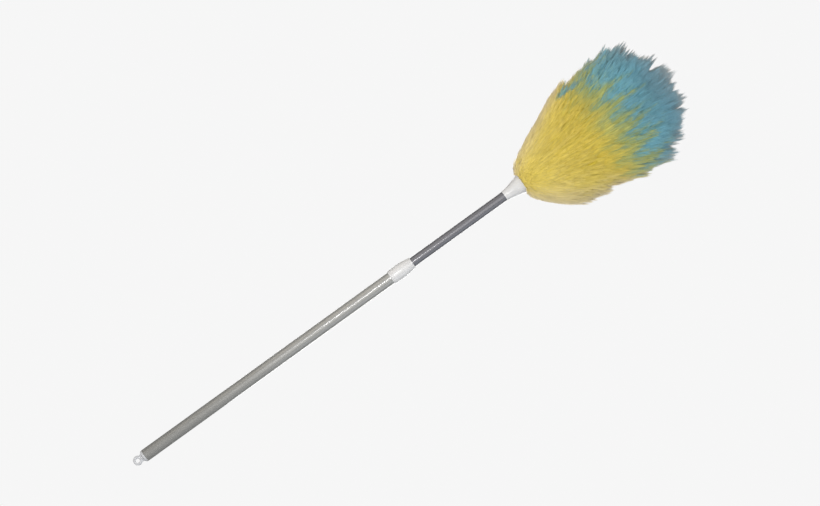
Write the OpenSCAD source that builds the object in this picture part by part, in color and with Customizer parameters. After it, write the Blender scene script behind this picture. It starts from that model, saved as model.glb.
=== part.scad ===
// Telescopic lambswool duster, in millimetres.
// The pole runs along +Z, head up; the origin is on its axis, at the lower end of the outer tube.

/* [Handle] */
// Outside diameter of the outer tube
outer_od = 19; // [18.5:0.1:20]
// Outside diameter of the inner tube
inner_od = 15; // [14.5:0.1:15.5]
// Wall of both tubes
tube_wall = 0.6; // [0.5:0.1:0.8]
// Length of outer tube left bare below the collar
grip_l = 455; // [400:5:600]
// Length of inner tube left bare between the collar and the ferrule
shown_l = 170.5; // [100:0.5:300]
// Length of inner tube hidden inside the outer tube, below the collar
hidden_l = 213; // [180:1:240]

/* [Hanging eye] */
// Radius of the hole for a hook
eye_hole_r = 3; // [2.5:0.1:4]
// Radius of the eye's round section
eye_wire_r = 2.4; // [2:0.1:3]
// Distance from the tube's end down to the hole's centre
eye_drop = 13; // [12:0.5:16]

/* [Collar] */
// Overall length of the collar
collar_l = 39.5; // [35:0.5:50]
// Largest radius of the collar
collar_r = 11.5; // [11:0.1:13]
// Radius of the collar's lower lip
collar_lip_r = 9.9; // [9.9:0.1:10.5]
// Radius of the collar's top rim
collar_top_r = 8.8; // [8.6:0.1:9.2]
// Depth of the collar that is pressed over the outer tube
collar_grip = 12; // [10:1:16]
// How far the outer tube's radius is turned down under the collar
collar_step = 0.25; // [0.2:0.05:0.3]
// Length of the guide bush inside the outer tube
bush_l = 26; // [20:1:40]

/* [Twist lock] */
// Radius of the threaded stud
stud_r = 3; // [2.5:0.5:3.5]
// Pitch of the stud's thread, which sets how far a turn draws the cone
stud_pitch = 1.5; // [1:0.25:2]
// Length of the expander sleeve
expander_l = 28.5; // [24:0.5:32]
// Depth of the expander's tapered mouth
taper_l = 14; // [10:1:16]
// Radius of the mouth at its wide end
mouth_r = 6.8; // [6.4:0.1:7]
// Radius of the mouth at its narrow end
throat_r = 5; // [4.5:0.1:5.4]

/* [Ferrule] */
// Length of the flared part of the ferrule
flare_l = 33; // [28:1:40]
// Radius of the ferrule at the tube
flare_neck_r = 8.1; // [7.9:0.1:9]
// Radius of the ferrule's rim
flare_rim_r = 15.6; // [14:0.1:18]
// How slowly the flare opens at first
flare_power = 1.45; // [1.2:0.05:2]

/* [Head] */
// Radius of the wooden dowel in the middle of the head
dowel_r = 5; // [4.5:0.5:5.5]
// Thickness of the hide that carries the wool
hide_t = 1.55; // [1:0.05:1.6]
// How far the dowel reaches past the ferrule's rim
dowel_reach = 195; // [150:5:220]
// How far past the rim the yellow hide ends and the blue hide begins
hide_split = 120; // [90:1:140]
// How far past the rim the yellow fleece ends at its outside
fleece_split = 164; // [150:1:190]
// How far the fleece hangs to one side of the pole
fleece_lean = 4; // [0:0.5:6]

/* [Hidden] */
$fn = 96;

// Gap between two pieces that are pressed or glued together
seat = 0.02;
// Radial gap between two pieces that slide or turn on each other
running = 0.07;
// Overlap of a cutting shape past the face it cuts
past = 1;

outer_r = outer_od / 2;
outer_bore_r = outer_r - tube_wall;
inner_r = inner_od / 2;
inner_bore_r = inner_r - tube_wall;

// Heights along the pole
collar_z = grip_l;
collar_top_z = collar_z + collar_l;
outer_top_z = collar_z + collar_grip;
bush_z = outer_top_z - bush_l;
inner_z = collar_z - hidden_l;
inner_top_z = collar_top_z + shown_l;
rim_z = inner_top_z + flare_l;
dowel_top_z = rim_z + dowel_reach;

// Bush
bush_flange_h = 1.5;
bush_bore_r = inner_r + running;

// Lock, from the inner tube's end downwards
plug_flange_h = 4;
plug_sleeve_l = 25;
washer_h = 1.2;
lock_gap = 0.1;
washer_z = inner_z - plug_flange_h - washer_h;
expander_z = washer_z - lock_gap - expander_l;
cone_foot_h = 6;
cone_foot_drop = 10;
cone_gap = 0.05;
cone_z = expander_z - cone_foot_drop;
stud_head_h = 4;
stud_head_flats = 10;
stud_groove_r = stud_r - 0.5;
clip_h = 0.8;
clip_gap = 0.2;
clip_z = cone_z - stud_pitch - clip_gap - clip_h;
stud_end = 2.5;
stud_z = clip_z - stud_end;
slot_w = 1.6;

// Ferrule
spigot_l = 28;
dowel_seat_l = 23;
hide_r = dowel_r + seat + hide_t;
tack_l = 13;
tack_r = 0.8;

// Outline of the whole fleece, as [radius, height above the ferrule's rim]
fleece_side = [[26, 0.5], [43, 17], [61, 42], [74, 67], [83, 102], [91, 142],
               [97.5, 167], [98.5, 207], [93, 229], [74, 248], [50, 267], [28, 279], [0, 286]];
fleece_r = 98.5;
fleece_l = 286;

// Points on a smooth curve through a list of points
function pass(a, b, c, d, t) =
    0.5 * ((2 * b) + (c - a) * t + (2 * a - 5 * b + 4 * c - d) * t * t
           + (3 * b - a - 3 * c + d) * t * t * t);
function smooth(list, steps) =
    [for (i = [0 : len(list) - 2], k = [0 : steps - 1])
        pass(list[max(i - 1, 0)], list[i], list[i + 1], list[min(i + 2, len(list) - 1)], k / steps)];

// Radius of the ferrule's outside at a height above the tube's end
function flare_r(h) =
    flare_neck_r + (flare_rim_r - flare_neck_r) * pow(max(h, 0) / flare_l, flare_power);

module tube(r, bore_r, z, l) {
    translate([0, 0, z])
        difference() {
            cylinder(r = r, h = l);
            translate([0, 0, -past]) cylinder(r = bore_r, h = l + 2 * past);
        }
}

// ---- Outer handle ----

// The upper end is turned down, so the collar is pressed on against a shoulder
module outer_tube() {
    color("silver")
        difference() {
            union() {
                cylinder(r = outer_r, h = collar_z);
                cylinder(r = outer_r - collar_step, h = outer_top_z);
            }
            translate([0, 0, -past]) cylinder(r = outer_bore_r, h = outer_top_z + 2 * past);
        }
}

// The hanging eye: a round ring whose hole has a short straight land
module eye_ring() {
    land_share = 0.875;
    rotate([90, 0, 0])
        rotate_extrude()
            intersection() {
                translate([eye_hole_r + land_share * eye_wire_r, 0]) circle(r = eye_wire_r, $fn = 48);
                translate([eye_hole_r, -eye_wire_r]) square([4 * eye_wire_r, 2 * eye_wire_r]);
            }
}

// Two crossed webs that widen from the eye up to the flange
module eye_webs(flange_r, flange_h) {
    web_t = 3.4;
    foot_z = -eye_drop + eye_hole_r + 0.3;
    top_z = -flange_h + 0.1;
    // Half widths of the web in the eye's plane: at the eye, at its knee and at the flange
    foot_r = 4.6;
    knee_r = 6.2;
    knee_z = -4.6;
    top_r = flange_r - 0.8;
    // Half widths of the web across it
    cross_foot_r = 1.6;
    cross_top_r = 5.6;
    rotate([90, 0, 0])
        linear_extrude(web_t, center = true)
            polygon([[-foot_r, foot_z], [foot_r, foot_z], [knee_r, knee_z], [top_r, top_z],
                     [-top_r, top_z], [-knee_r, knee_z]]);
    rotate([90, 0, 90])
        linear_extrude(web_t, center = true)
            polygon([[-cross_foot_r, foot_z + 1], [cross_foot_r, foot_z + 1],
                     [cross_top_r, top_z], [-cross_top_r, top_z]]);
}

module end_cap() {
    flange_r = outer_r - 0.4;
    flange_h = 3;
    edge_r = 0.8;
    plug_l = 20;
    plug_r = outer_bore_r - 0.3;
    plug_wall = 1.7;
    bead_r = outer_bore_r - seat;
    bead_h = 1.6;
    color("whitesmoke") {
        translate([0, 0, -eye_drop]) eye_ring();
        eye_webs(flange_r, flange_h);
        rotate_extrude() {
            translate([0, -flange_h]) square([flange_r - edge_r, flange_h]);
            translate([0, edge_r - flange_h]) square([flange_r, flange_h - edge_r]);
            translate([flange_r - edge_r, edge_r - flange_h]) circle(r = edge_r, $fn = 32);
        }
        difference() {
            union() {
                cylinder(r = plug_r, h = plug_l);
                // Three beads grip the inside of the tube
                for (z = [4, 9, 14]) translate([0, 0, z]) cylinder(r = bead_r, h = bead_h);
            }
            translate([0, 0, 2]) cylinder(r = plug_r - plug_wall, h = plug_l);
        }
    }
}

// Outside of the collar: a rounded lower end, a slow swell, a taper and a small top bead
module collar_outline() {
    swell_z = 19;
    shoulder_r = collar_r - 0.25;
    round_h = 8;
    bead_h = 1.6;
    bead_r = collar_top_r + 0.2;
    top_edge = 0.4;
    rounding = [for (a = [0 : 10 : 90])
        [collar_lip_r + (shoulder_r - collar_lip_r) * sin(a), round_h * (1 - cos(a))]];
    taper_h = collar_l - bead_h - swell_z;
    taper = [for (t = [0 : 0.125 : 1])
        [collar_r - (collar_r - collar_top_r) * (0.6 * t + 0.4 * t * t), swell_z + taper_h * t]];
    polygon(concat([[0, 0]], rounding, taper,
        [[bead_r, collar_l - bead_h + 0.2], [bead_r, collar_l - top_edge],
         [bead_r - top_edge, collar_l], [0, collar_l]]));
}

module collar() {
    seat_h = collar_grip + bush_flange_h;
    color("whitesmoke")
        translate([0, 0, collar_z])
            difference() {
                rotate_extrude() collar_outline();
                translate([0, 0, -past]) cylinder(r = outer_r - collar_step + seat, h = seat_h + past);
                cylinder(r = bush_bore_r, h = collar_l + past);
            }
}

module guide_bush() {
    split_w = 2;
    color("gainsboro")
        difference() {
            union() {
                translate([0, 0, bush_z]) cylinder(r = outer_bore_r - seat, h = bush_l + past);
                translate([0, 0, outer_top_z + seat])
                    cylinder(r = outer_r - collar_step - 0.1, h = bush_flange_h - 2 * seat);
            }
            translate([0, 0, bush_z - past])
                cylinder(r = bush_bore_r, h = bush_l + bush_flange_h + 2 * past);
            // The lengthwise split lets the bush close on the inner tube
            translate([0, -split_w / 2, bush_z - past])
                cube([outer_r + past, split_w, bush_l + bush_flange_h + 2 * past]);
        }
}

// ---- Inner handle ----

module inner_tube() {
    color("slategray") tube(inner_r, inner_bore_r, inner_z, inner_top_z - inner_z);
}

// Hexagonal bar, given the distance across its flats
module hex_bar(flats, h) {
    cylinder(r = flats / sqrt(3), h = h, $fn = 6);
}

module lock_plug() {
    flange_r = outer_bore_r - 0.3;
    sleeve_r = inner_bore_r - seat;
    pocket_flats = stud_head_flats + 0.1;
    color("black")
        difference() {
            union() {
                translate([0, 0, inner_z - plug_flange_h]) cylinder(r = flange_r, h = plug_flange_h - seat);
                translate([0, 0, inner_z - past]) cylinder(r = sleeve_r, h = plug_sleeve_l + past);
            }
            translate([0, 0, inner_z - plug_flange_h - past])
                cylinder(r = stud_r + seat, h = plug_flange_h + plug_sleeve_l + 2 * past);
            // Six-sided pocket that stops the stud from turning in the plug
            translate([0, 0, inner_z + plug_sleeve_l - stud_head_h]) hex_bar(pocket_flats, stud_head_h + past);
        }
}

module lock_stud() {
    head_z = inner_z + plug_sleeve_l - stud_head_h;
    color("silver")
        difference() {
            union() {
                translate([0, 0, stud_z]) cylinder(r = stud_r, h = head_z + 1 - stud_z);
                translate([0, 0, head_z + seat]) hex_bar(stud_head_flats, stud_head_h - seat);
            }
            // Groove for the clip
            tube(stud_r + past, stud_groove_r, clip_z - seat, clip_h + 2 * seat);
        }
}

// Snap ring with an open side, in the stud's groove
module stud_clip() {
    clip_r = 5.2;
    mouth_w = 4.4;
    color("dimgray")
        difference() {
            tube(clip_r, stud_groove_r + seat, clip_z, clip_h);
            translate([0, -mouth_w / 2, clip_z - past]) cube([clip_r + past, mouth_w, clip_h + 2 * past]);
        }
}

module thrust_washer() {
    washer_r = 7.4;
    color("silver") tube(washer_r, stud_r + 0.1, washer_z + seat, washer_h - 2 * seat);
}

// ---- Expander and its cone ----

// Slots that let the expander's lower end spread, each also a guide for one rib of the cone
module expander_slots(w, h) {
    for (a = [0, 90]) rotate([0, 0, a]) translate([-outer_r, -w / 2, 0]) cube([2 * outer_r, w, h]);
}

module expander() {
    end_wall = 6.5;
    slot_l = expander_l - end_wall - 2;
    color("goldenrod")
        translate([0, 0, expander_z])
            difference() {
                cylinder(r = outer_bore_r - 0.05, h = expander_l);
                translate([0, 0, -past]) cylinder(r = mouth_r, h = past + 0.01);
                cylinder(r1 = mouth_r, r2 = throat_r, h = taper_l);
                translate([0, 0, taper_l - 0.01]) cylinder(r = throat_r, h = expander_l - taper_l - end_wall);
                cylinder(r = stud_r + 0.1, h = expander_l + past);
                translate([0, 0, -past]) expander_slots(slot_w, slot_l + past);
            }
}

module cone_nut() {
    slope = (mouth_r - throat_r) / taper_l;
    foot_r = mouth_r + slope * (cone_foot_drop - cone_foot_h) - cone_gap;
    tip_h = cone_foot_drop + taper_l - 0.5;
    tip_r = throat_r + slope * 0.5 - cone_gap;
    rib_w = slot_w - 0.2;
    rib_r = outer_bore_r - 0.6;
    rib_h = cone_foot_drop + 8;
    color("firebrick")
        translate([0, 0, cone_z])
            difference() {
                union() {
                    cylinder(r = foot_r, h = cone_foot_h);
                    translate([0, 0, cone_foot_h])
                        cylinder(r1 = foot_r, r2 = tip_r, h = tip_h - cone_foot_h);
                    // Two ribs ride in the expander's slots, so the cone can't turn in it
                    translate([-rib_r, -rib_w / 2, 0]) cube([2 * rib_r, rib_w, rib_h]);
                }
                translate([0, 0, -past]) cylinder(r = stud_r + 0.05, h = tip_h + 2 * past);
            }
}

// ---- Head ----

module ferrule() {
    wall = 1.7;
    hub_r = hide_r + 0.3;
    hub_drop = 4;
    cup_h = 12;
    lip = 0.5;
    bead_h = 2;
    hide_mouth_h = 8;
    heights = [for (h = [0 : flare_l / 22 : flare_l - lip]) h];
    outside = [for (h = heights) [flare_r(h), h]];
    cup = [for (h = [cup_h : (flare_l - cup_h) / 10 : flare_l]) [flare_r(h) - wall, h]];
    color("whitesmoke")
        translate([0, 0, inner_top_z])
            difference() {
                union() {
                    rotate_extrude()
                        polygon(concat([[0, 0]], outside, [[flare_rim_r - 0.1, flare_l], [0, flare_l]]));
                    // Bead where the ferrule meets the tube
                    translate([0, 0, 0.3]) cylinder(r = flare_neck_r + 0.25, h = bead_h);
                    translate([0, 0, -spigot_l]) cylinder(r = inner_bore_r - seat, h = spigot_l + past);
                }
                rotate_extrude()
                    polygon(concat([[hub_r, cup_h]], cup, [[flare_rim_r - wall, flare_l + past],
                                   [hub_r, flare_l + past]]));
                translate([0, 0, flare_l - hub_drop]) cylinder(r = hub_r + 0.1, h = hub_drop + past);
                translate([0, 0, -dowel_seat_l]) cylinder(r = dowel_r + seat, h = dowel_seat_l + flare_l);
                // Wider mouth that holds the end of the hide
                translate([0, 0, flare_l - hide_mouth_h]) cylinder(r = hide_r + seat, h = hide_mouth_h);
            }
}

module core_dowel() {
    z = inner_top_z - dowel_seat_l + seat;
    color("burlywood")
        difference() {
            translate([0, 0, z]) cylinder(r = dowel_r, h = dowel_top_z - z);
            translate([0, 0, dowel_top_z - tack_l - 1]) cylinder(r = tack_r + seat, h = tack_l + 1 + past);
        }
}

// A strip of hide rolled round the dowel, with a butt seam down one side
module hide(z, l) {
    seam_w = 0.6;
    difference() {
        tube(hide_r, dowel_r + seat, z, l);
        translate([0, -seam_w / 2, z - past]) cube([hide_r + past, seam_w, l + 2 * past]);
    }
}

module hide_yellow() {
    z = rim_z - 7.5;
    color("khaki") hide(z, rim_z + hide_split - z);
}

module hide_blue() {
    z = rim_z + hide_split + 0.1;
    color("lightsteelblue") hide(z, dowel_top_z - 1 - z);
}

// Round-headed tack that pins the hide's end to the dowel
module tip_tack() {
    head_r = 6;
    head_h = 1.4;
    ball_r = (head_r * head_r + head_h * head_h) / (2 * head_h);
    color("silver") {
        translate([0, 0, dowel_top_z - tack_l]) cylinder(r = tack_r, h = tack_l + 0.1, $fn = 32);
        translate([0, 0, dowel_top_z + seat])
            intersection() {
                cylinder(r = head_r, h = head_h);
                translate([0, 0, head_h - ball_r]) sphere(r = ball_r);
            }
    }
}

// The whole fleece, with room inside it for the hide, the dowel and the tack
module fleece() {
    side = smooth(fleece_side, 3);
    core_h = dowel_reach + 3;
    translate([0, 0, rim_z])
        difference() {
            translate([fleece_lean, 0, 0])
                rotate_extrude() polygon(concat([[0, fleece_side[0].y]], side, [[0, fleece_l]]));
            translate([0, 0, -past]) cylinder(r = hide_r + 0.1, h = core_h + past);
        }
}

// Cone-shaped boundary: blue wool grows from further up the dowel and lies inside the yellow
module blue_space(gap) {
    wide_r = fleece_r + 30;
    rise = (fleece_split - hide_split) / fleece_r;
    translate([0, 0, rim_z + hide_split + gap]) {
        cylinder(r1 = 0.1, r2 = wide_r, h = rise * wide_r);
        translate([0, 0, rise * wide_r]) cylinder(r = wide_r, h = fleece_l / 2);
    }
}

module fleece_yellow() {
    color("gold")
        difference() {
            fleece();
            blue_space(0);
        }
}

module fleece_blue() {
    color("steelblue")
        intersection() {
            fleece();
            blue_space(0.3);
        }
}

outer_tube();
end_cap();
collar();
guide_bush();
inner_tube();
lock_plug();
lock_stud();
stud_clip();
thrust_washer();
expander();
cone_nut();
ferrule();
core_dowel();
hide_yellow();
hide_blue();
tip_tack();
fleece_yellow();
fleece_blue();
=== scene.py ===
"""Looks for the telescopic lambswool duster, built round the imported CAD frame.

Metres, in the CAD's frame: the pole runs along +Z, head up, and the hanging eye lies in the XZ plane.
The wool is worked out in millimetres above the ferrule's rim, and becomes metres with its mesh.
"""

import math

import bpy
import numpy as np
from mathutils import Matrix, Vector


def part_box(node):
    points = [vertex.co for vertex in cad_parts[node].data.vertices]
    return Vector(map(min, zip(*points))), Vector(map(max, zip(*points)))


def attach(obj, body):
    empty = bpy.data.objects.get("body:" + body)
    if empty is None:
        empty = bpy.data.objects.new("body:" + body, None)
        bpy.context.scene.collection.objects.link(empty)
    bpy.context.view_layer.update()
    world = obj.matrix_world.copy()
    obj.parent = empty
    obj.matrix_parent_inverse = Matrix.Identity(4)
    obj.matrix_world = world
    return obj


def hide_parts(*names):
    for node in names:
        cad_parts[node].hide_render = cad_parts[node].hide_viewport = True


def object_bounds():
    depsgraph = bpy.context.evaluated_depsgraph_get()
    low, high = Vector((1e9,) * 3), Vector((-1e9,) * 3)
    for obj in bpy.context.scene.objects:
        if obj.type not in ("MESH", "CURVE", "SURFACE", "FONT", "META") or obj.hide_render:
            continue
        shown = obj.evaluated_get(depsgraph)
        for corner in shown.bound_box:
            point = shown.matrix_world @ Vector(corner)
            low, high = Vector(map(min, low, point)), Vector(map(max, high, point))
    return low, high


MM = 0.001
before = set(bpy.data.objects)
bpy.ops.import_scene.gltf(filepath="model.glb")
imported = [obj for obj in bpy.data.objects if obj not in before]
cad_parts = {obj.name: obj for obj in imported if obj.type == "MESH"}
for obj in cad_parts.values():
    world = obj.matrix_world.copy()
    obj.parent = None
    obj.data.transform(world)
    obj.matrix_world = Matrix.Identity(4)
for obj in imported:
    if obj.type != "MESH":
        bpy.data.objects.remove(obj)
CAD_LOW, CAD_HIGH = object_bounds()

RIM_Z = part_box("ferrule")[1].z
COLLAR_TOP_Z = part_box("collar")[1].z

SEED = 7
rng = np.random.default_rng(SEED)


# ---------------------------------------------------------------- camera, stage and light

# How steeply the pole climbs in the picture
POLE_TILT = math.radians(35.83)
CAMERA_LENS = 120.0
CLIP_END = 60.0

# The point in the middle of the picture, and the width of the view there
AIM = Vector((-0.0136, 0.0, 0.5000))
FRAME_WIDTH = 1.23

# The near-white that the surround shows to the camera
SURROUND = (0.923, 0.923, 0.923)

# The surround's own light, and its strength from the camera's side and from behind the duster
FILL_COLOUR = (1.0, 0.99, 0.98, 1.0)
FILL_FRONT = 0.62
FILL_BEHIND = 0.10

# The floor's place below the hanging eye and its size, and how far out it melts into the surround
FLOOR_DROP = 0.62
FLOOR_RADIUS = 2.0
FLOOR_SIDES = 96
FADE_START = 0.1
FADE_END = 1.0

# Area lights, as (name, place, point that it faces, width, height, watts, colour)
LIGHTS = [
    ("strip", (-0.20, -1.5, 0.39), (0, 0, 0.39), 0.05, 0.28, 5.2, (1.0, 0.99, 1.0)),
    ("front", (-0.1, -1.8, 0.72), (0, 0, 0.70), 1.7, 1.3, 14.0, (1.0, 0.99, 0.97)),
    ("warm_side", (-2.0, -0.9, 0.8), (0, 0, 0.6), 1.4, 1.4, 4.5, (1.0, 0.90, 0.74)),
    ("warm_low", (-0.75, -0.40, 0.22), (0, 0, 0.22), 0.3, 0.6, 0.62, (1.0, 0.90, 0.70)),
    ("cool_side", (2.0, -0.9, 0.8), (0, 0, 0.6), 1.4, 1.4, 7.2, (0.75, 0.88, 1.0)),
    ("back", (0.4, 2.5, 0.9), (0, 0, 0.5), 2.4, 2.0, 58, (1.0, 0.99, 0.98)),
]


def make_camera():
    """Looks along +Y, rolled so that the pole climbs to the right."""
    data = bpy.data.cameras.new("camera")
    data.lens = CAMERA_LENS
    data.clip_end = CLIP_END
    camera = bpy.data.objects.new("camera", data)
    bpy.context.scene.collection.objects.link(camera)
    right = Vector((math.sin(POLE_TILT), 0.0, math.cos(POLE_TILT)))
    up = Vector((-math.cos(POLE_TILT), 0.0, math.sin(POLE_TILT)))
    back = right.cross(up)
    distance = FRAME_WIDTH * CAMERA_LENS / data.sensor_width
    turn = Matrix((right, up, back)).transposed().to_4x4()
    camera.matrix_world = Matrix.Translation(AIM + back * distance) @ turn
    bpy.context.scene.camera = camera


def make_light(name, place, aim, width, height, power, colour):
    """A rectangular light that faces a point."""
    data = bpy.data.lights.new(name, "AREA")
    data.shape = "RECTANGLE"
    data.size = width
    data.size_y = height
    data.energy = power
    data.color = colour
    light = bpy.data.objects.new(name, data)
    bpy.context.scene.collection.objects.link(light)
    light.location = place
    light.rotation_euler = (Vector(aim) - Vector(place)).to_track_quat("-Z", "Y").to_euler()


def make_world():
    """A plain pale surround, which lights softly and shows to the camera as an even near-white."""
    world = bpy.data.worlds.new("studio")
    bpy.context.scene.world = world
    world.use_nodes = True
    tree = world.node_tree
    tree.nodes.clear()
    out = tree.nodes.new("ShaderNodeOutputWorld")
    mix = tree.nodes.new("ShaderNodeMixShader")
    path = tree.nodes.new("ShaderNodeLightPath")
    fill = tree.nodes.new("ShaderNodeBackground")
    fill.inputs["Color"].default_value = FILL_COLOUR
    direction = tree.nodes.new("ShaderNodeTexCoord")
    split = tree.nodes.new("ShaderNodeSeparateXYZ")
    depth = tree.nodes.new("ShaderNodeMapRange")
    depth.inputs["From Min"].default_value = -1.0
    depth.inputs["From Max"].default_value = 1.0
    depth.inputs["To Min"].default_value = FILL_FRONT
    depth.inputs["To Max"].default_value = FILL_BEHIND
    tree.links.new(direction.outputs["Generated"], split.inputs[0])
    tree.links.new(split.outputs["Y"], depth.inputs["Value"])
    tree.links.new(depth.outputs["Result"], fill.inputs["Strength"])
    shown = tree.nodes.new("ShaderNodeBackground")
    shown.inputs["Color"].default_value = (*SURROUND, 1.0)
    shown.inputs["Strength"].default_value = 1.0
    tree.links.new(path.outputs["Is Camera Ray"], mix.inputs[0])
    tree.links.new(fill.outputs[0], mix.inputs[1])
    tree.links.new(shown.outputs[0], mix.inputs[2])
    tree.links.new(mix.outputs[0], out.inputs["Surface"])


def make_floor():
    """A pale disc well below the duster, which is held up in the air."""
    turns = np.linspace(0, 2 * math.pi, FLOOR_SIDES, endpoint=False)
    z = CAD_LOW.z - FLOOR_DROP
    ring = [(FLOOR_RADIUS * math.cos(a), FLOOR_RADIUS * math.sin(a), z) for a in turns]
    mesh = bpy.data.meshes.new("floor")
    mesh.from_pydata(ring, [], [list(range(FLOOR_SIDES))])
    floor = bpy.data.objects.new("floor", mesh)
    bpy.context.scene.collection.objects.link(floor)
    mesh.materials.append(plain_floor_material())


# ---------------------------------------------------------------- node helpers

# Sockets of a Mix node that mixes colours: it has others of the same names
MIX_A = 6
MIX_B = 7
MIX_RESULT = 2


class Look:
    """A material whose Principled shader is fed by a short chain of procedural nodes."""

    def __init__(self, name):
        self.material = bpy.data.materials.new(name)
        self.material.use_nodes = True
        self.tree = self.material.node_tree
        self.shader = self.tree.nodes["Principled BSDF"]

    def node(self, kind, **settings):
        made = self.tree.nodes.new("ShaderNode" + kind)
        for key, value in settings.items():
            setattr(made, key, value)
        return made

    def link(self, source, target):
        self.tree.links.new(source, target)

    def set(self, **values):
        for name, value in values.items():
            self.shader.inputs[name.replace("_", " ")].default_value = value
        return self

    def place(self, scale=(1, 1, 1), uv=None):
        """Coordinates in the CAD's frame, or of a UV layer, multiplied by scale."""
        if uv:
            source = self.node("UVMap", uv_map=uv).outputs["UV"]
        else:
            source = self.node("TexCoord").outputs["Object"]
        mapping = self.node("Mapping")
        mapping.inputs["Scale"].default_value = scale
        self.link(source, mapping.inputs["Vector"])
        return mapping.outputs["Vector"]

    def noise(self, vector, scale, detail=3.0, roughness=0.55):
        made = self.node("TexNoise")
        made.inputs["Scale"].default_value = scale
        made.inputs["Detail"].default_value = detail
        made.inputs["Roughness"].default_value = roughness
        self.link(vector, made.inputs["Vector"])
        return made.outputs["Fac"]

    def ramp(self, value, stops):
        made = self.node("ValToRGB")
        points = made.color_ramp.elements
        while len(points) > 1:
            points.remove(points[-1])
        points[0].position = stops[0][0]
        points[0].color = (*stops[0][1], 1.0)
        for position, colour in stops[1:]:
            points.new(position).color = (*colour, 1.0)
        self.link(value, made.inputs["Fac"])
        return made.outputs["Color"]

    def maths(self, operation, a, b):
        made = self.node("Math", operation=operation)
        for socket, value in zip(made.inputs, (a, b)):
            if isinstance(value, (int, float)):
                socket.default_value = value
            else:
                self.link(value, socket)
        return made.outputs[0]

    def rescale(self, value, low, high):
        """Turns a 0 to 1 value into low to high."""
        made = self.node("MapRange")
        made.inputs["To Min"].default_value = low
        made.inputs["To Max"].default_value = high
        self.link(value, made.inputs["Value"])
        return made.outputs["Result"]

    def times(self, colour, value):
        """Colour darkened or lightened by a grey value."""
        made = self.node("VectorMath", operation="SCALE")
        self.link(colour, made.inputs[0])
        self.link(value, made.inputs["Scale"])
        return made.outputs["Vector"]

    def mix(self, value, a, b):
        made = self.node("Mix", data_type="RGBA")
        self.link(value, made.inputs["Factor"])
        for socket, colour in ((made.inputs[MIX_A], a), (made.inputs[MIX_B], b)):
            if isinstance(colour, tuple):
                socket.default_value = (*colour, 1.0)
            else:
                self.link(colour, socket)
        return made.outputs[MIX_RESULT]

    def bump(self, height, strength, distance):
        made = self.node("Bump")
        made.inputs["Strength"].default_value = strength
        made.inputs["Distance"].default_value = distance
        self.link(height, made.inputs["Height"])
        self.link(made.outputs["Normal"], self.shader.inputs["Normal"])

    def colour(self, source):
        self.link(source, self.shader.inputs["Base Color"])

    def roughness(self, source):
        self.link(source, self.shader.inputs["Roughness"])


# ---------------------------------------------------------------- materials

# How a material's noise is scaled across and along the pole, so that its marks run lengthwise
DRAWN_MARKS = (1, 1, 0.012)
DRAWN_CLOUDS = (1, 1, 0.3)
FLOW_MARKS = (1, 1, 0.4)
WOOD_GRAIN = (1, 1, 0.05)

# How far roughness strays from its mean, and how far a moulding's strays upwards
STRAY = 0.03
ROUGHER = 0.04


def plain_floor_material():
    """A pale floor that melts into the surround, so that neither its lit part nor its rim shows."""
    look = Look("stage_floor")
    soft = look.noise(look.place(), 3.0)
    look.colour(look.mix(soft, (0.86, 0.86, 0.86), (0.89, 0.89, 0.89)))
    look.set(Roughness=0.9, Specular_IOR_Level=0.2)
    seen = look.node("LightPath").outputs["Is Camera Ray"]
    look.set(Emission_Color=(0.20, 0.20, 0.20, 1.0))
    look.link(seen, look.shader.inputs["Emission Strength"])

    away = look.node("VectorMath", operation="LENGTH")
    look.link(look.place((1, 1, 0)), away.inputs[0])
    fade = look.node("MapRange", interpolation_type="SMOOTHSTEP")
    fade.inputs["From Min"].default_value = FADE_START
    fade.inputs["From Max"].default_value = FADE_END
    look.link(away.outputs["Value"], fade.inputs["Value"])
    glow = look.node("Emission")
    glow.inputs["Color"].default_value = (*SURROUND, 1.0)
    blend = look.node("MixShader")
    look.link(look.maths("MULTIPLY", fade.outputs["Result"], seen), blend.inputs[0])
    look.link(look.shader.outputs[0], blend.inputs[1])
    look.link(glow.outputs[0], blend.inputs[2])
    look.link(blend.outputs[0], look.tree.nodes["Material Output"].inputs["Surface"])
    return look.material


def drawn_metal(name, dark, light, roughness, metal=1.0, coat=0.0, low_end_shade=1.0, collar_end_light=1.0):
    """Metal with a satin skin and faint lengthwise drawing marks, lacquered as much as coat says.

    Its colour is darkened towards the bottom of the handle and lightened towards the collar by two
    factors: painted shade below and painted light above, where the lamps' light falls off along the
    pole.
    """
    look = Look(name)
    lines = look.noise(look.place(DRAWN_MARKS), 260.0, detail=2.0)
    clouds = look.noise(look.place(DRAWN_CLOUDS), 45.0, detail=2.0)
    tone = look.maths("ADD", look.maths("MULTIPLY", lines, 0.5), look.maths("MULTIPLY", clouds, 0.5))
    height = look.node("SeparateXYZ")
    look.link(look.place(), height.inputs[0])
    # Painted shade at the bottom of the handle, passing into painted light at the collar
    painted_light_falloff = look.rescale(look.maths("DIVIDE", height.outputs["Z"], COLLAR_TOP_Z), low_end_shade, collar_end_light)
    look.colour(look.times(look.ramp(tone, [(0.3, dark), (0.7, light)]), painted_light_falloff))
    look.roughness(look.rescale(clouds, roughness - STRAY, roughness + STRAY))
    look.set(Metallic=metal, Coat_Weight=coat, Coat_Roughness=0.15)
    return look.material


def moulded_plastic(name, dark, light, roughness):
    """Moulded plastic: slight flow marks in its colour and a very fine skin."""
    look = Look(name)
    flow = look.noise(look.place(FLOW_MARKS), 60.0, detail=2.0)
    skin = look.noise(look.place(), 200.0, detail=2.0)
    look.colour(look.mix(flow, dark, light))
    look.roughness(look.rescale(skin, roughness - STRAY, roughness + ROUGHER))
    look.bump(skin, 0.015, 0.0001)
    return look.material


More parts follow.
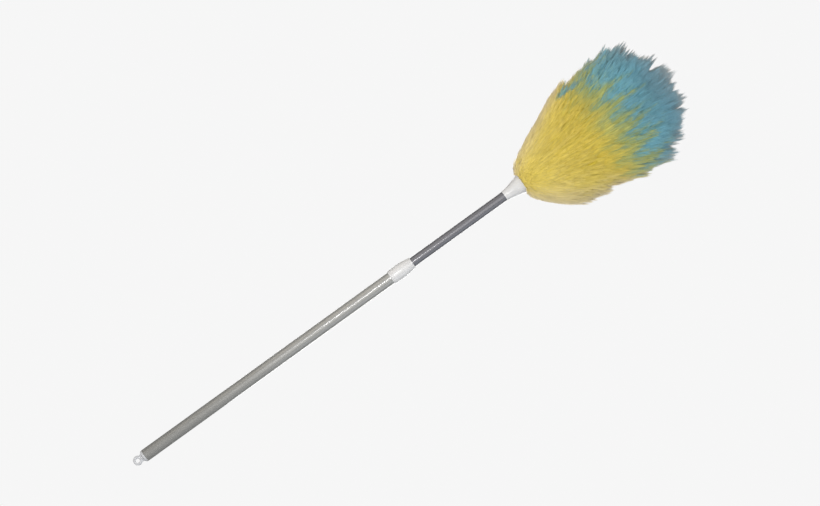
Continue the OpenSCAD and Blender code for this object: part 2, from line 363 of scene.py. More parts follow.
def turned_wood(name):
    """Turned wood with its grain along the pole."""
    look = Look(name)
    grain = look.noise(look.place(WOOD_GRAIN), 420.0, detail=5.0)
    look.colour(look.ramp(grain, [(0.3, (0.42, 0.27, 0.13)), (0.65, (0.66, 0.48, 0.28))]))
    look.roughness(look.rescale(grain, 0.5, 0.7))
    look.bump(grain, 0.25, 0.0002)
    return look.material


def rolled_hide(name, dark, light):
    """Dyed hide with fine pores and soft blotches."""
    look = Look(name)
    pores = look.noise(look.place(), 900.0, detail=5.0)
    blotches = look.noise(look.place(), 70.0, detail=2.0)
    look.colour(look.mix(blotches, dark, light))
    look.roughness(look.rescale(pores, 0.65, 0.9))
    look.bump(pores, 0.4, 0.0003)
    return look.material


# Colours of the dyed wool: the pale tan that is painted on sideways wool as sheen (0), then yellow,
# olive and green at the border, blue, and the grey-blue of the far end (1)
DYE = [
    (0.00, (0.82, 0.66, 0.26)),
    (0.06, (0.86, 0.68, 0.14)),
    (0.13, (0.79, 0.605, 0.056)),
    (0.24, (0.70, 0.585, 0.080)),
    (0.36, (0.52, 0.55, 0.15)),
    (0.48, (0.33, 0.47, 0.20)),
    (0.60, (0.20, 0.45, 0.40)),
    (0.72, (0.160, 0.46, 0.565)),
    (0.84, (0.165, 0.475, 0.63)),
    (1.00, (0.36, 0.57, 0.69)),
]

# Brightness of the wool from its darkest tone to its lightest, and painted shade from a hair's root,
# darker, to its tip
TONE_RANGE = (0.84, 1.12)
ROOT_SHADE_RANGE = (0.90, 1.04)

# Painted sheen: the colour that the last part of each hair pales to, by this share at its very tip
TIP_SHEEN_COLOUR = (0.80, 0.78, 0.68)
TIP_SHEEN_SHARE = 0.16

# Tones that a hair can have
SHADES = 16


def wool(name, layer):
    """Dyed wool, with painted sheen and shade. The layer's V picks the dye, which also carries painted
    sheen on the sides; its U holds a tone and how far along the hair it is, which paints shade at the
    root and a paler sheen at the tip.
    """
    look = Look(name)
    split = look.node("SeparateXYZ")
    look.link(look.place(uv=layer), split.inputs[0])
    scaled = look.maths("MULTIPLY", split.outputs["X"], float(SHADES))
    tone = look.maths("DIVIDE", look.maths("FLOOR", scaled, 0.0), float(SHADES - 1))
    along = look.maths("FRACT", scaled, 0.0)
    colour = look.ramp(split.outputs["Y"], DYE)
    by_tone = look.rescale(tone, *TONE_RANGE)
    # Painted shade: each hair is darker towards its root, as if shaded by the wool above it
    root_shade = look.rescale(along, *ROOT_SHADE_RANGE)
    colour = look.times(colour, look.maths("MULTIPLY", by_tone, root_shade))
    # Painted sheen: each hair's tip is paled towards a light tan
    pale = look.maths("MULTIPLY", look.maths("POWER", along, 5.0), TIP_SHEEN_SHARE)
    look.colour(look.mix(pale, colour, TIP_SHEEN_COLOUR))
    look.set(Roughness=0.8, Specular_IOR_Level=0.2)
    look.set(Sheen_Weight=1.0, Sheen_Roughness=0.42, Sheen_Tint=(1.0, 0.93, 0.86, 1.0))
    return look.material


def dress_cad_nodes():
    """Each CAD node that still shows gets its own procedural material."""
    # The satin steel gets painted shade at the bottom of the handle and painted light at the collar
    steel = drawn_metal(
        "satin_steel", (0.255, 0.255, 0.243), (0.292, 0.292, 0.280), 0.6,
        metal=0.3, coat=1.0, low_end_shade=0.80, collar_end_light=1.15,
    )
    dark_steel = drawn_metal(
        "dark_steel", (0.116, 0.116, 0.132), (0.136, 0.136, 0.154), 0.6,
        metal=0.3, coat=0.9,
    )
    zinc = drawn_metal("zinc_steel", (0.45, 0.45, 0.46), (0.60, 0.60, 0.61), 0.35)
    spring = drawn_metal("spring_steel", (0.10, 0.10, 0.11), (0.18, 0.18, 0.19), 0.35)
    white = moulded_plastic("white_plastic", (0.595, 0.595, 0.595), (0.635, 0.635, 0.64), 0.28)
    clear = moulded_plastic("clear_white_plastic", (0.47, 0.48, 0.50), (0.56, 0.57, 0.59), 0.22)
    looks = {
        "outer_tube": steel,
        "inner_tube": dark_steel,
        "collar": white,
        "ferrule": white,
        "end_cap": clear,
        "guide_bush": moulded_plastic("bush_plastic", (0.58, 0.58, 0.55), (0.66, 0.66, 0.62), 0.5),
        "lock_plug": moulded_plastic("black_plastic", (0.015, 0.015, 0.016), (0.03, 0.03, 0.03), 0.5),
        "expander": moulded_plastic("amber_plastic", (0.50, 0.32, 0.08), (0.58, 0.40, 0.12), 0.5),
        "cone_nut": moulded_plastic("red_plastic", (0.35, 0.03, 0.02), (0.45, 0.05, 0.03), 0.5),
        "lock_stud": zinc,
        "thrust_washer": zinc,
        "tip_tack": zinc,
        "stud_clip": spring,
        "core_dowel": turned_wood("beech"),
        "hide_yellow": rolled_hide("yellow_hide", (0.55, 0.42, 0.15), (0.70, 0.58, 0.28)),
        "hide_blue": rolled_hide("blue_hide", (0.22, 0.34, 0.40), (0.33, 0.45, 0.50)),
    }
    for name, material in looks.items():
        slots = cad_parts[name].data.materials
        for i in range(len(slots)):
            slots[i] = material
        if not slots:
            slots.append(material)


# ---------------------------------------------------------------- fleece shape

# Outline of the wool on the side it hangs to and on the other side, as (height above the ferrule's rim,
# radius) in millimetres, from the ferrule to the far end. The two lists match point by point.
LEAN_SIDE = [
    (-4, 17), (-3, 22), (2, 31), (10, 41), (20, 51), (34, 64), (50, 76), (66, 83.5),
    (82, 86), (102, 88), (120, 87.5), (138, 92), (154, 99), (172, 101), (190, 102.5), (208, 100),
    (226, 90), (242, 76), (258, 61), (271, 42), (278, 22), (281, 2),
]
FLAT_SIDE = [
    (-4, 17), (-3, 20), (2, 25), (10, 31), (20, 38), (34, 46), (50, 54), (66, 61),
    (82, 68.5), (102, 79), (118, 85), (134, 88), (150, 86), (168, 88.5), (184, 89.5), (202, 91),
    (220, 90.5), (238, 81), (253, 60), (268, 43), (277, 22), (281, 2),
]

# How much higher the wool starts in front and behind than at the sides, where it puffs over the rim,
# and how fast this dies away along the outline
ROOT_RISE = 2.3
ROOT_RISE_FADE = 14

# Fuller and thinner places on the two sides, as (height, sideways place, outward push, half width)
LOBES = [
    (62, 84, 4, 9), (98, 90, 5, 8), (110, 86, -5, 5), (134, 93, 2, 8), (156, 101, 7, 6),
    (205, 102, 8, 13), (233, 86, 9, 10), (249, 70, -3, 6), (257, 61, -6, 5), (267, 49, 6, 4),
    (271, 41, 0, 7), (277, 31, 2, 5), (278, 23, -10, 6), (281, 9, -9, 6), (283, 0, 2, 3),
    (281, -15, -5, 7), (274, -30, -6, 5), (271, -42, 4, 6), (260, -54, -10, 7), (241, -80, 14, 10),
    (214, -91, 4, 8), (199, -91, -6, 5), (188, -90, 3, 7), (145, -87, -5, 5), (135, -88, 7, 6),
]
LOBE_DEPTH = 36

# Narrow notches in the far end's outline, as (degrees from the pole's axis, depth, half width in
# degrees), seen from a point on the axis at this height. They fade out this far in front and behind,
# and take at most this share of a hair.
NOTCHES = [
    (-38.3, 6, 1.8), (-32.8, 4, 1.4), (-8.4, 20, 1.7), (2.1, 6, 1.2), (5.9, 8, 1.4),
    (15.5, 9, 1.5), (34.3, 9, 1.7),
]
NOTCH_CENTRE = 92.0
NOTCH_REACH = 55
NOTCH_MOST = 0.6

# Places along a hair, from its root to its tip, closer together towards the tip
ALONG = 1 - (1 - np.linspace(0, 1, 7)) ** 1.6


def unit(v):
    """Vectors at length 1, along the last axis."""
    return v / np.maximum(np.linalg.norm(v, axis=-1, keepdims=True), 1e-9)


def slope(value, start, span):
    """0 at start, 1 at start + span, straight between them and level beyond them."""
    return np.clip((value - start) / span, 0, 1)


def smooth_run(points, count=420, passes=60):
    """Evenly numbered points on a smooth curve near a given outline."""
    u = np.linspace(0, len(points) - 1, count)
    columns = np.array(points, float).T
    run = np.stack([np.interp(u, np.arange(len(points)), c) for c in columns], axis=1)
    for _ in range(passes):
        run[1:-1] = (run[:-2] + 2 * run[1:-1] + run[2:]) / 4
    return run


LEAN_RUN = smooth_run(LEAN_SIDE)
FLAT_RUN = smooth_run(FLAT_SIDE)


def outline(w, angle):
    """Height and radius of the fleece's outside, at a share w of its outline from the ferrule."""
    place = np.clip(w, 0, 1) * (len(LEAN_RUN) - 1)
    steps = np.arange(len(LEAN_RUN))
    lean = 0.5 + 0.5 * np.cos(angle)
    height, radius = (
        lean * np.interp(place, steps, LEAN_RUN[:, k])
        + (1 - lean) * np.interp(place, steps, FLAT_RUN[:, k])
        for k in (0, 1)
    )
    height = height + ROOT_RISE * (1 - np.cos(2 * angle)) * np.exp(-ROOT_RISE_FADE * w)
    return height, radius


def outward(w, angle, step=0.004):
    """Unit normal of the fleece's outside, as (height, radius) parts."""
    h0, r0 = outline(w - step, angle)
    h1, r1 = outline(w + step, angle)
    run = unit(np.stack((h1 - h0, r1 - r0), axis=-1))
    return -run[..., 1], run[..., 0]


def spot(height, radius, angle):
    """A point in the head's own millimetres, from its height, radius and angle."""
    return np.stack((radius * np.cos(angle), radius * np.sin(angle), height), axis=-1)


def front_angle(angle):
    """Degrees round the pole from the front, growing towards +X, from -180 to 180."""
    return (np.degrees(angle) + 90 + 180) % 360 - 180


def spread_over_surface(count):
    """Evenly spaced places on the fleece's outside, as outline shares and angles."""
    w = np.linspace(0.0, 0.995, 600)
    height, radius = outline(w, math.pi / 2)
    area = radius * np.hypot(np.gradient(height), np.gradient(radius))
    share = np.cumsum(area) / area.sum()
    order = (np.arange(count) + rng.random(count)) / count
    angle = (np.arange(count) * math.pi * (3 - math.sqrt(5))) % (2 * math.pi)
    return np.interp(order, share, w), angle


def fullness(place):
    """How far the fleece stands out past its smooth outline near the plane that shows its two sides."""
    push = np.zeros(len(place))
    for height, side, amount, width in LOBES:
        away = np.hypot(place[:, 2] - height, place[:, 0] - side) / width
        push += amount * np.exp(-away**2)
    return push * np.exp(-(place[:, 1] / LOBE_DEPTH) ** 2)


def cut_notches(path):
    """Shortens the hairs whose tips stand in a notch of the far end's outline."""
    end = path[:, -1]
    lean = np.degrees(np.arctan2(end[:, 0], end[:, 2] - NOTCH_CENTRE))
    cut = np.zeros(len(path))
    for middle, depth, half_width in NOTCHES:
        cut = np.maximum(cut, depth * np.clip(1 - np.abs(lean - middle) / half_width, 0, 1) ** 0.5)
    cut = cut * np.exp(-(end[:, 1] / NOTCH_REACH) ** 4)
    length = np.linalg.norm(np.diff(path, axis=1), axis=2).sum(axis=1)
    place = ALONG * (1 - np.clip(cut / length, 0, NOTCH_MOST))[:, None]
    step = np.clip(np.searchsorted(ALONG, place, side="right") - 1, 0, len(ALONG) - 2)
    share = ((place - ALONG[step]) / (ALONG[step + 1] - ALONG[step]))[..., None]
    hair = np.arange(len(path))[:, None]
    return path[hair, step] * (1 - share) + path[hair, step + 1] * share


# ---------------------------------------------------------------- fleece colour

# Long yellow flames that reach over the blue on the front, as (angle from the front, height of the tip)
FRONT_FLAMES = [
    (-80, 206), (-64, 182), (-27, 198), (-10, 187), (12, 191), (33, 197), (57, 198), (82, 188),
]
BACK_FLAMES = 8
BACK_FLAME_STRAY = 6
BACK_FLAME_LENGTHS = (28, 58)
FLAME_HALF_WIDTH = 7.5

# Mean height of the yellow's edge between the flames
GAP_HEIGHT = 170.0

# A small blue tuft that breaks through the yellow, as (angle from the front, height, half width in
# degrees, half length), and the dye depth that wool in it gets: this share of its own, and this much
BLUE_TUFT = (-62.0, 136.0, 6.5, 19.0)
BLUE_TUFT_OWN = 0.3
BLUE_TUFT_DEPTH = -24

# Depths below the yellow's edge, in millimetres, and the dye there
DYE_DEPTHS = (-45, -22, -6, 6, 22, 50, 130)
DYE_PLACES = (0.78, 0.72, 0.58, 0.41, 0.25, 0.14, 0.09)

# High on the head, yellow wool takes this much of the way to olive; the far end greys by this much dye
OLIVE = 0.43
OLIVE_SHARE = 0.9
FAR_GREY = 0.20

# Painted sheen: how far yellow wool that faces sideways is moved towards pale tan, and the dye below
# which it starts
SIDE_SHEEN = 0.13
SHEEN_DYE_START = 0.26

# How far the roots lie below their tips in dye depth, in millimetres
ROOT_DEPTH = 26

# The wool's mean tone, and what the tones of its locks and hairs are multiplied by
MEAN_TONE = 0.5
TONE_GAIN = 2.2

# Streaks: how far they shift the yellow's edge, and how much they lighten or darken
STREAK_DEPTH = 12
STREAK_TONE = 0.40

# Painted highlight and shade on the blue, as lighter and darker patches: their tone, and their width
# and start in degrees
PAINTED_PATCH_TONE = 0.2
PATCH_WIDTH = 35
PATCH_START = -30

# The darker line along the yellow's edge: its tone, and its middle and half width in dye depth
EDGE_TONE = 0.35
EDGE_MIDDLE = 2
EDGE_WIDTH = 13


def light_flames():
    """The front's flames, and others at uneven spaces round the back."""
    back = np.linspace(90, 270, BACK_FLAMES + 2)[1:-1]
    back = back + rng.uniform(-BACK_FLAME_STRAY, BACK_FLAME_STRAY, BACK_FLAMES)
    tips = GAP_HEIGHT + rng.uniform(*BACK_FLAME_LENGTHS, BACK_FLAMES)
    return FRONT_FLAMES + list(zip(back, tips))


FLAMES = light_flames()


def flame_edge(angle):
    """Height at which the yellow gives way to the blue: a wavy edge with flames and small teeth."""
    turn = front_angle(angle)
    edge = GAP_HEIGHT + 4 * np.cos(np.radians(4 * turn)) + 3 * np.cos(np.radians(2 * (turn - 25)))
    rise = np.zeros(angle.shape)
    for centre, tip in FLAMES:
        away = np.abs((turn - centre + 180) % 360 - 180) / FLAME_HALF_WIDTH
        rise = np.maximum(rise, (tip - GAP_HEIGHT) * np.clip(1 - away, 0, 1) ** 1.6)
    broad_teeth = 8 * np.sin(27 * angle + 2.0 * np.sin(5 * angle))
    fine_teeth = 6 * np.sin(47 * angle + 2.5 * np.sin(7 * angle))
    return edge + rise + (broad_teeth + fine_teeth)


def streaks(angle, height):
    """Fine lengthwise streaks, from -1 to 1, which run on from lock to lock."""
    broad = np.sin(83 * angle + 2.5 * np.sin(7 * angle + 0.01 * height))
    fine = np.sin(197 * angle + 3.0 * np.sin(11 * angle - 0.013 * height))
    return 0.5 * broad + 0.5 * fine


def dye_at(depth, height):
    """Place on the dye ramp of wool this many millimetres below the yellow's edge."""
    dye = np.interp(depth, DYE_DEPTHS, DYE_PLACES)
    dye = dye + OLIVE_SHARE * slope(height, 122, 62) * np.clip(OLIVE - dye, 0, 1)
    return dye + FAR_GREY * slope(height, 225, 60)


# ---------------------------------------------------------------- fleece hairs

# The wool hangs in tufts of locks; a lock has a few clumps, and its hairs are shared out to them
TUFTS = 150
LOCKS = 2000
LOCK_CLUMPS = 6
LOCK_HAIRS = 42
CLUMPS = LOCKS * LOCK_CLUMPS
HAIRS = LOCKS * LOCK_HAIRS

# A lock's tip leans this share of the way towards its tuft's
TUFT_PULL = 0.10

# Locks are this long, but no longer than this share of their tip's distance from the pole
LOCK_LENGTHS = (66, 96)
LONGEST_SHARE = 0.8

# The lowest height and the least radius of a lock's root
LOWEST_ROOT = 3.0
INMOST_ROOT = 13.5

# A lock's middle bows out by this share of its length, and by this much less at the far end
BOW = 0.10
FAR_BOW_LESS = 0.05

# Where a place is fuller, its locks are longer, and this share of it also lifts them
FULL_LIFT = 0.3

# Standard deviations of locks and tufts: turns in radians, lengths and lift in millimetres, tone
LOCK_TURN = 0.02
ROOT_TURN = 0.03
TUFT_LONGER = 2.4
LOCK_LONGER = 1.6
LOCK_LIFT = 0.35
TUFT_TONE = 0.015
LOCK_TONE = 0.03

# Standard deviations of clumps and hairs: side and rise in millimetres, length as a share, phase
CLUMP_SIDE = 4.6
HAIR_SIDE = 2.9
HAIR_RISE = 0.9
CLUMP_LONGER = 0.018
HAIR_SHORTER = 0.035
HAIR_PHASE = 0.3

# Standard deviations of colour: millimetres of dye depth, place on the dye ramp, and tone
LOCK_DYE_DEPTH = 6
CLUMP_DYE_DEPTH = 7
HAIR_DYE_DEPTH = 7
HAIR_DYE = 0.014
HAIR_TONE = 0.06

# A few clumps are spiky: longer, and nearly closed at their tips
SPIKY_SHARE = 0.045
SPIKY_LONGER = 0.05
SPIKY_CLOSING = 0.95

# How far a lock, a clump's width and a clump's thickness close up towards the tip
LOCK_CLOSING = 0.22
CLUMP_CLOSING = 0.40
RISE_CLOSING = 0.6

# Some hairs are shorter, by these shares of their length
SHORT_SHARE = 0.18
SHORT_BY = (0.05, 0.30)

# Hairs sway from side to side, by this many millimetres at their tips
SWAYS = (0.05, 0.35)
SWAY_PHASES = 6.3
SWAY_WAVES = 4.5

# How far a hair's shading may turn from its lock's, in radians
MOST_SHIFT = 0.2

# The hairs' radii in millimetres, and the number of meshes that the hairs are shared out to
HAIR_RADII = (0.26, 0.44)
BANDS = 15


def source(height):
    """Height on the pole that the wool with its tips at this height points away from."""
    return np.clip(-12 + 0.65 * (height - 54), -12, 92)


def looseness(height):
    """How uneven the wool is: hardly by the ferrule, where it lies close, and fully at the far end."""
    by_the_ferrule = np.clip(height / 90, 0.12, 1)
    return np.clip(0.35 + (height - 120) / 90, 0.35, 1) * by_the_ferrule


def grow_locks():
    """Every lock's middle line as three control points, its place on the outline and its tone."""
    w, angle = spread_over_surface(LOCKS)
    angle = angle + rng.normal(0, LOCK_TURN, LOCKS)
    tip = spot(*outline(w, angle), angle)
    nh, nr = outward(w, angle)

    # Neighbouring locks hang together in tufts, which share their length
    tuft_w, tuft_angle = spread_over_surface(TUFTS)
    tuft_tip = spot(*outline(tuft_w, tuft_angle), tuft_angle)
    gaps = np.linalg.norm(tip[:, None] - tuft_tip[None], axis=2)
    tuft = gaps.argmin(axis=1)
    tip = tip + TUFT_PULL * (tuft_tip[tuft] - tip)
    height = tip[:, 2]
    radius = np.hypot(tip[:, 0], tip[:, 1])
    loose = looseness(height)
    fuller = fullness(tip)
    tuft_longer = rng.normal(0, TUFT_LONGER, TUFTS)[tuft]
    longer = (tuft_longer + rng.normal(0, LOCK_LONGER, LOCKS)) * loose + fuller
    angle = np.arctan2(tip[:, 1], tip[:, 0])
    lift = rng.normal(0, LOCK_LIFT, LOCKS) * loose + FULL_LIFT * fuller * slope(height, 230, -30)

    # Each lock runs out from the pole, from a root inside the head to its tip
    run = np.stack((height - source(height), radius), axis=1)
    reach = np.linalg.norm(run, axis=1)
    along_h, along_r = (run / reach[:, None]).T
    length = np.minimum(rng.uniform(*LOCK_LENGTHS, LOCKS), LONGEST_SHARE * reach)
    root_h = np.maximum(height - along_h * length, LOWEST_ROOT)
    root_r = np.maximum(radius - along_r * length, INMOST_ROOT)
    tip_h = height + along_h * longer + nh * lift
    tip_r = radius + along_r * longer + nr * lift
    bulge = (BOW - FAR_BOW_LESS * slope(height, 215, 50)) * length
    mid_h = (root_h + tip_h) / 2 - along_r * bulge
    mid_r = (root_r + tip_r) / 2 + along_h * bulge
    root_angle = angle + rng.normal(0, ROOT_TURN, LOCKS)
    root = spot(root_h, root_r, root_angle)
    middle = spot(mid_h, mid_r, (angle + root_angle) / 2)
    tip = spot(tip_h, tip_r, angle)
    shade = rng.normal(0, TUFT_TONE, TUFTS)[tuft] + rng.normal(0, LOCK_TONE, LOCKS)
    return (root, middle, tip), w, angle, shade


def shape_hairs(lines, lock_face, lock, clump):
    """Every hair's path in millimetres, and how far along its lock's line each of its points is."""
    t = ALONG[None, :]

    # A clump is a few hairs of nearly one length that close up at their tips
    clump_side = rng.normal(0, CLUMP_SIDE, CLUMPS)[clump][:, None]
    clump_longer = rng.normal(0, CLUMP_LONGER, CLUMPS)[clump]
    spiky = (rng.random(CLUMPS) < SPIKY_SHARE)[clump]
    shorter = np.abs(rng.normal(0, HAIR_SHORTER, HAIRS))
    grown = 1.0 + clump_longer - shorter + np.where(spiky, SPIKY_LONGER, 0.0)
    short = rng.random(HAIRS) < SHORT_SHARE
    grown = np.where(short, grown - rng.uniform(*SHORT_BY, HAIRS), grown)[:, None]
    s = t * grown

    a, b, c = (points[lock][:, None] for points in lines)
    q = s[..., None]
    path = (1 - q) ** 2 * a + 2 * q * (1 - q) * b + q**2 * c
    along = unit(2 * (1 - q) * (b - a) + 2 * q * (c - b))
    across = unit(np.cross(along, np.broadcast_to(lock_face[lock][:, None], along.shape)))
    over = unit(np.cross(across, along))

    up = np.clip(s, 0, 1)
    closing = 1 - np.where(spiky, SPIKY_CLOSING, CLUMP_CLOSING)[:, None] * up**2
    side = clump_side * (1 - LOCK_CLOSING * up**2) + rng.normal(0, HAIR_SIDE, (HAIRS, 1)) * closing
    rise = rng.normal(0, HAIR_RISE, (HAIRS, 1)) * (1 - RISE_CLOSING * up**2)
    phase = rng.uniform(0, SWAY_PHASES, CLUMPS)[clump][:, None]
    phase = phase + rng.normal(0, HAIR_PHASE, (HAIRS, 1))
    sway = np.sin(phase + SWAY_WAVES * t) * rng.uniform(*SWAYS, (HAIRS, 1)) * t
    path = path + across * (side + sway)[..., None] + over * (rise + 0.5 * sway)[..., None]
    return cut_notches(path), up


def dye_hairs(end, face_angle, up, shade, lock, clump):
    """Every hair's dye along its length, with painted sheen on its sides, and its tone, with painted
    highlight and shade on the blue, from where its tip lies.
    """
    height = end[:, 2]
    turn = front_angle(face_angle)

    # Yellow turns green towards the edge of the blue, unevenly and in streaks
    depth = flame_edge(face_angle) - height
    depth = depth + rng.normal(0, LOCK_DYE_DEPTH, LOCKS)[lock]
    depth = depth + rng.normal(0, CLUMP_DYE_DEPTH, CLUMPS)[clump]
    depth = depth + rng.normal(0, HAIR_DYE_DEPTH, HAIRS)
    streak = streaks(np.arctan2(end[:, 1], end[:, 0]), height)
    depth = depth + STREAK_DEPTH * streak

    tuft_turn, tuft_height, tuft_width, tuft_length = BLUE_TUFT
    tuft_away = np.hypot((turn - tuft_turn) / tuft_width, (height - tuft_height) / tuft_length)
    depth = np.where(tuft_away < 1, BLUE_TUFT_OWN * depth + BLUE_TUFT_DEPTH, depth)
    depth = depth[:, None] + ROOT_DEPTH * (1 - up)
    dye = dye_at(depth, height[:, None]) + rng.normal(0, HAIR_DYE, (HAIRS, 1))

    # Yellow wool that faces sideways gets painted sheen, moved down the dye towards pale tan, in a
    # narrower strip higher up
    narrow = 2 + 2 * slope(height, 55, 35)
    sideways = (np.abs(np.cos(face_angle)) ** narrow)[:, None]
    dye = dye - SIDE_SHEEN * (sideways * slope(dye, SHEEN_DYE_START, -0.08))

    # The blue is painted lighter and darker in patches as highlight and shade, and the border with the
    # yellow is darker
    light_patch_wave = np.cos(math.pi * (turn - PATCH_START) / PATCH_WIDTH)
    patches = PAINTED_PATCH_TONE * light_patch_wave * slope(height, 160, 40)
    patches = patches - EDGE_TONE * np.exp(-((depth[:, -1] - EDGE_MIDDLE) / EDGE_WIDTH) ** 2)
    own_tone = shade[lock] + rng.normal(0, HAIR_TONE, HAIRS)
    tone = np.clip(MEAN_TONE + TONE_GAIN * own_tone + STREAK_TONE * streak + patches, 0, 0.999)
    return dye, tone


def grow_hairs():
    """Every hair's path in millimetres, its outward direction, its dye, its tone and its place."""
    lines, lock_w, lock_angle, shade = grow_locks()
    nh, nr = outward(lock_w, lock_angle)
    lock = np.repeat(np.arange(LOCKS), LOCK_HAIRS)
    clump = lock * LOCK_CLUMPS + rng.integers(0, LOCK_CLUMPS, HAIRS)
    path, up = shape_hairs(lines, spot(nh, nr, lock_angle), lock, clump)

    # Each hair is shaded by the fleece's own roundness where its tip lies
    end = path[:, -1]
    end_angle = np.arctan2(end[:, 1], end[:, 0])
    shift = (end_angle - lock_angle[lock] + math.pi) % (2 * math.pi) - math.pi
    face_angle = lock_angle[lock] + np.clip(shift, -MOST_SHIFT, MOST_SHIFT)
    face = spot(nh[lock], nr[lock], face_angle)
    face = np.broadcast_to(face[:, None], path.shape)
    dye, tone = dye_hairs(end, face_angle, up, shade, lock, clump)
    return path, face, dye, tone, lock_w[lock]


# ---------------------------------------------------------------- fleece meshes

# The shader's normal of a hair: the fleece's own, plus this much of the hair's
FACE_SHARE = 0.80
HAIR_SHARE = 0.36

# The UV layer that holds tone and dye: the export bakes to a layer of this name where there is one
UV_LAYER = "OFBake"
UV_EDGE = 0.004

# Where a hair's points lie within its tone's strip of U
STRIP_START = 0.08
STRIP_SPAN = 0.84

# The under-fur: its points round and up, its depth below the wool's outside and how much deeper it is
# at the far end, its least radius and lowest height, and its place in U, low in tone and near the root,
# so painted darker as shade between the locks
UNDERFUR_AROUND = 200
UNDERFUR_UP = 110
UNDERFUR_DEPTH = 9
UNDERFUR_FAR_DEPTH = 14
UNDERFUR_LEAST_RADIUS = 4
UNDERFUR_LOWEST = -0.5
UNDERFUR_SHADE_TONE = 0.20


def to_metres(points):
    """The head's millimetres in the CAD's metres."""
    return points * MM + np.array((0, 0, RIM_Z))


def add_piece(name, mesh, material):
    """An object in the scene from a mesh and its only material."""
    mesh.materials.append(material)
    piece = bpy.data.objects.new(name, mesh)
    bpy.context.scene.collection.objects.link(piece)
    return piece


def hair_faces(count, rings):
    """Vertex numbers of every hair's faces, one after another, and each face's number of corners."""
    quads = []
    for j in range(rings - 1):
        for k in range(3):
            k2 = (k + 1) % 3
            quads.append((3 * j + k2, 3 * j + k, 3 * j + 3 + k, 3 * j + 3 + k2))
    last = 3 * (rings - 1)
    point = 3 * rings
    triangles = [(last + (k + 1) % 3, last + k, point) for k in range(3)] + [(0, 1, 2)]
    first = (np.arange(count) * (point + 1))[:, None, None]
    quad_corners = (np.array(quads)[None] + first).reshape(count, -1)
    triangle_corners = (np.array(triangles)[None] + first).reshape(count, -1)
    loops = np.concatenate((quad_corners, triangle_corners), axis=1).ravel()
    sizes = np.tile(np.array([4] * len(quads) + [3] * len(triangles)), count)
    return loops, sizes


def hair_uv(dye, tone, rings):
    """U holds the hair's tone and how far along it is, V its dye, which carries the painted side sheen.
    """
    tone_step = np.floor(tone * SHADES)[:, None]
    along = np.concatenate((np.repeat(ALONG[:rings], 3), [1.0]))[None]
    u = (tone_step + STRIP_START + STRIP_SPAN * along) / SHADES
    v = np.concatenate((np.repeat(dye[:, :rings], 3, axis=1), dye[:, -1:]), axis=1)
    v = v + np.tile(np.array((-0.002, 0.0, 0.002)), rings + 1)[None, :v.shape[1]]
    return np.clip(np.stack((u.ravel(), v.ravel()), axis=1), UV_EDGE, 1 - UV_EDGE)


def hair_mesh(name, path, face, dye, tone, radius, material):
    """Three-sided tapering hairs, closed at the root and drawn to a point, as one mesh."""
    count, steps, _ = path.shape
    rings = steps - 1
    along = unit(np.gradient(path, ALONG, axis=1))
    e1 = unit(np.cross(along, face))
    e2 = np.cross(e1, along)
    taper = (0.7 + 0.4 * np.sin(math.pi * ALONG) ** 0.8) * (1 - ALONG**12)
    corners = []
    shine = []
    for k in range(3):
        a = 2 * math.pi * (k / 3 + 0.25)
        way = math.cos(a) * e1 + math.sin(a) * e2
        corners.append(path + (radius[:, None] * taper)[..., None] * way)
        shine.append(unit(FACE_SHARE * face + HAIR_SHARE * way))
    ring = np.stack(corners, axis=2)[:, :rings].reshape(count, rings * 3, 3)
    vertices = np.concatenate((ring, path[:, -1:, :]), axis=1)
    normals = np.stack(shine, axis=2)[:, :rings].reshape(count, rings * 3, 3)
    normals = np.concatenate((normals, face[:, -1:, :]), axis=1)
    loops, sizes = hair_faces(count, rings)

    mesh = bpy.data.meshes.new(name)
    mesh.vertices.add(vertices.shape[0] * vertices.shape[1])
    mesh.vertices.foreach_set("co", to_metres(vertices.reshape(-1, 3)).ravel())
    mesh.loops.add(len(loops))
    mesh.loops.foreach_set("vertex_index", loops.astype(np.int32))
    mesh.polygons.add(len(sizes))
    starts = np.concatenate(([0], np.cumsum(sizes)[:-1]))
    mesh.polygons.foreach_set("loop_start", starts.astype(np.int32))
    mesh.polygons.foreach_set("use_smooth", np.ones(len(sizes), bool))
    layer = mesh.uv_layers.new(name=UV_LAYER)
    layer.data.foreach_set("uv", hair_uv(dye, tone, rings)[loops].ravel())
    mesh.update()
    mesh.validate()
    mesh.normals_split_custom_set_from_vertices(normals.reshape(-1, 3))
    return add_piece(name, mesh, material)


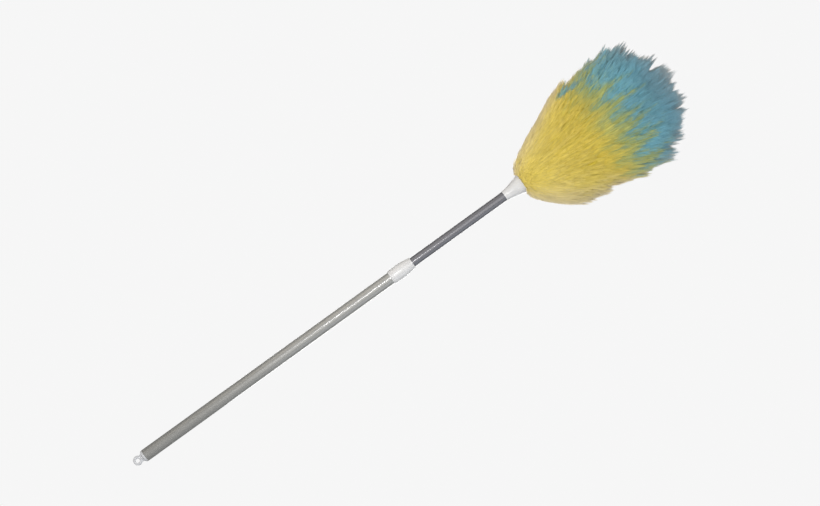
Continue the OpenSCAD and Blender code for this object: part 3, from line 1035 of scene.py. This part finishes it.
def underfur(material):
    """The dense wool below the locks: a closed body with combed ridges."""
    around, up = UNDERFUR_AROUND, UNDERFUR_UP
    share = np.linspace(0.02, 0.985, up)
    angles = np.linspace(0, 2 * math.pi, around, endpoint=False)
    w, a = np.meshgrid(share, angles, indexing="ij")
    h, r = outline(w, a)
    nh, nr = outward(w, a)
    broad_ridges = 1.6 * np.sin(31 * a + 2.0 * np.sin(9 * w))
    fine_ridges = 1.2 * np.sin(67 * a + 1.7 * np.sin(15 * w))
    depth = (UNDERFUR_DEPTH + broad_ridges + fine_ridges) * np.clip(w / 0.12, 0.3, 1)
    depth = depth + UNDERFUR_FAR_DEPTH * slope(w, 0.5, 0.4)
    h = np.maximum(h - nh * depth, UNDERFUR_LOWEST)
    r = np.maximum(r - nr * depth, UNDERFUR_LEAST_RADIUS)
    grid = spot(h, r, a)
    ends = np.array([(0, 0, grid[0, :, 2].mean()), (0, 0, grid[-1, :, 2].mean())])
    vertices = np.concatenate((grid.reshape(-1, 3), ends))

    faces = []
    for i in range(up - 1):
        for j in range(around):
            j2 = (j + 1) % around
            faces.append((i * around + j, i * around + j2, (i + 1) * around + j2, (i + 1) * around + j))
    low = len(vertices) - 2
    high = len(vertices) - 1
    for j in range(around):
        j2 = (j + 1) % around
        faces.append((low, j2, j))
        faces.append((high, (up - 1) * around + j, (up - 1) * around + j2))
    mesh = bpy.data.meshes.new("fleece_underfur")
    mesh.from_pydata([tuple(v) for v in to_metres(vertices)], [], faces)
    mesh.polygons.foreach_set("use_smooth", np.ones(len(faces), bool))

    layer = mesh.uv_layers.new(name=UV_LAYER)
    corner = np.zeros(len(mesh.loops), np.int32)
    mesh.loops.foreach_get("vertex_index", corner)
    height = vertices[corner, 2]
    turn = np.arctan2(vertices[corner, 1], vertices[corner, 0]) / (2 * math.pi)
    dye = dye_at(flame_edge(2 * math.pi * turn) - height, height)
    # A low tone: painted shade on the under-fur that shows between the locks
    tone = UNDERFUR_SHADE_TONE + 0.02 * np.sin(40 * turn)
    uv = np.stack((tone, np.clip(dye, 0.01, 0.99)), axis=1)
    layer.data.foreach_set("uv", uv.ravel())
    return add_piece("fleece_underfur", mesh, material)


def make_fleece():
    """The underfur, and the hairs in bands from the ferrule to the far end, by colour."""
    yellow = wool("yellow_wool", UV_LAYER)
    blue = wool("blue_wool", UV_LAYER)
    made = [(underfur(yellow), "fleece_yellow")]
    path, face, dye, tone, place = grow_hairs()
    radius = rng.uniform(*HAIR_RADII, len(path))
    order = np.argsort(place, kind="stable")
    for band, chosen in enumerate(np.array_split(order, BANDS)):
        parts = (path[chosen], face[chosen], dye[chosen], tone[chosen], radius[chosen])
        mostly_blue = dye[chosen, -1].mean() > 0.5
        piece = hair_mesh(f"fleece_locks_{band + 1}", *parts, blue if mostly_blue else yellow)
        made.append((piece, "fleece_blue" if mostly_blue else "fleece_yellow"))
    for piece, slot in made:
        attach(piece, "inner_handle")
        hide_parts("fleece_yellow", "fleece_blue")


# ---------------------------------------------------------------- build

bpy.context.scene.view_settings.view_transform = "Standard"
make_camera()
make_world()
make_floor()
for settings in LIGHTS:
    make_light(*settings)
dress_cad_nodes()
make_fleece()
